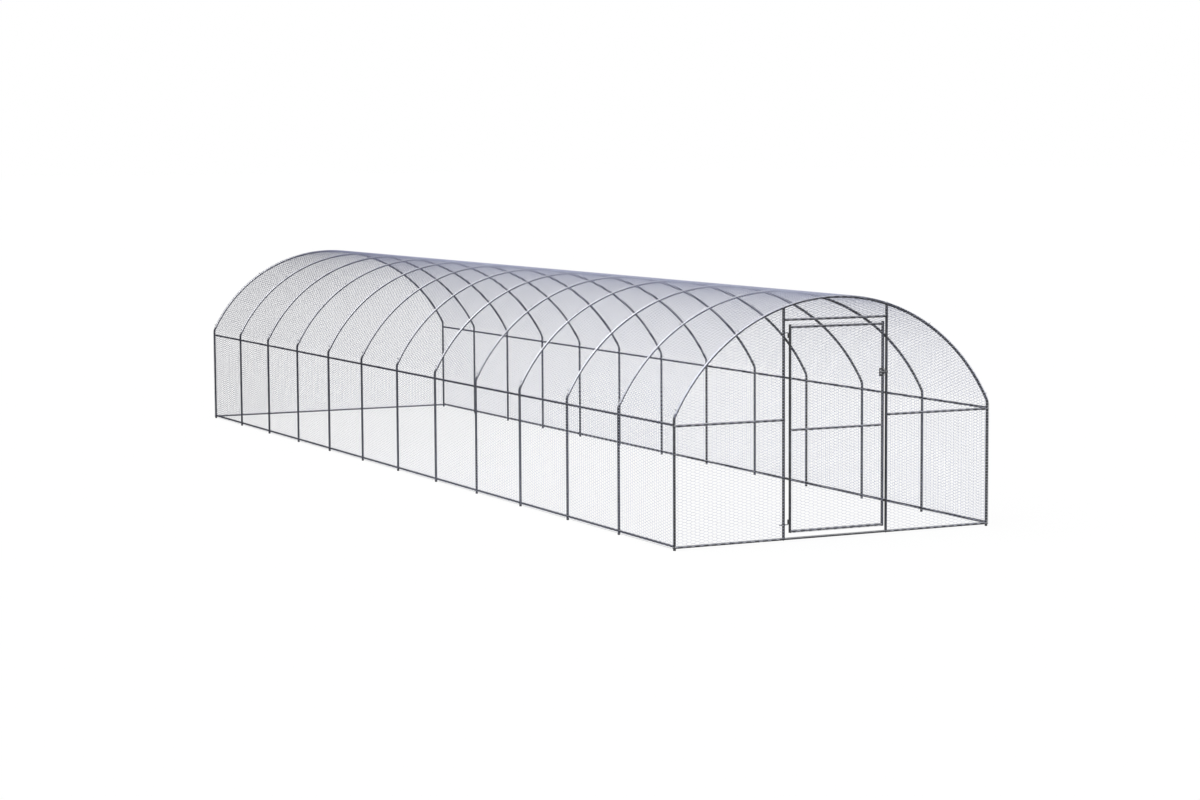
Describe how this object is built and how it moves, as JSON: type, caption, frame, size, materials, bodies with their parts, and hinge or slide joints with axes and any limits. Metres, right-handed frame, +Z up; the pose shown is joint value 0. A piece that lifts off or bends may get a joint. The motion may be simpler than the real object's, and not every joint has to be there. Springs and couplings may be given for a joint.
{
  "type": "chicken coop",
  "caption": "Walk-in tunnel poultry run of round steel hoops and rails under hexagonal wire netting, with a hinged door and slide latch in one end.",
  "frame": {"origin": "on the ground under the middle of the tunnel", "axes": "+Z up, +Y along the tunnel from the door end to the rear end, +X to the right as seen from the door end"},
  "size_m": [3.0112, 12.0657, 2.0004],
  "materials": {
    "galvanised_tube": "satin",
    "netting_wire": "satin",
    "hardware": "satin",
    "fastener": "satin"
  },
  "bodies": {
    "frame": {"left_posts": "galvanised_tube", "right_posts": "galvanised_tube", "left_ground_rails": "galvanised_tube", "right_ground_rails": "galvanised_tube", "left_waist_rails": "galvanised_tube", "right_waist_rails": "galvanised_tube", "rail_studs": "fastener", "frame_bolts": "fastener", "arch_bolts": "fastener", "arch_nuts": "fastener", "front_ground_rail": "galvanised_tube", "rear_ground_rail": "galvanised_tube", "front_waist_rail_left": "galvanised_tube", "front_waist_rail_right": "galvanised_tube", "door_header": "galvanised_tube", "left_door_post": "galvanised_tube", "right_door_post": "galvanised_tube", "lower_pintle": "hardware", "upper_pintle": "hardware", "pintle_nuts": "fastener", "keeper": "hardware", "keeper_screws": "fastener", "left_wall_netting": "netting_wire", "right_wall_netting": "netting_wire", "front_netting_left": "netting_wire", "front_netting_right": "netting_wire", "front_netting_over_door": "netting_wire", "rear_netting": "netting_wire", "arch_01": "galvanised_tube", "arch_02": "galvanised_tube", "arch_03": "galvanised_tube", "arch_04": "galvanised_tube", "arch_05": "galvanised_tube", "arch_06": "galvanised_tube", "arch_07": "galvanised_tube", "arch_08": "galvanised_tube", "arch_09": "galvanised_tube", "arch_10": "galvanised_tube", "arch_11": "galvanised_tube", "arch_12": "galvanised_tube", "arch_13": "galvanised_tube", "roof_netting_1": "netting_wire", "roof_netting_2": "netting_wire", "roof_netting_3": "netting_wire", "roof_netting_4": "netting_wire", "roof_netting_5": "netting_wire", "roof_netting_6": "netting_wire"},
    "door": {"hinge_stile": "galvanised_tube", "latch_stile": "galvanised_tube", "door_top_rail": "galvanised_tube", "door_middle_rail": "galvanised_tube", "door_bottom_rail": "galvanised_tube", "lower_hinge_sleeve": "hardware", "upper_hinge_sleeve": "hardware", "latch_plate": "hardware", "latch_screws": "fastener", "door_netting": "netting_wire"},
    "latch_bolt": {"latch_bolt": "hardware"}
  },
  "joints": [
    {"name": "door_hinge", "type": "hinge", "parent": "frame", "child": "door", "pos_m": [-0.44535, -6, 0.925], "axis": [0, 0, -1], "range_deg": [0, 120]},
    {"name": "latch_slide", "type": "slide", "parent": "door", "child": "latch_bolt", "axis": [1, 0, 0], "range_m": [0, 0.018]}
  ]
}
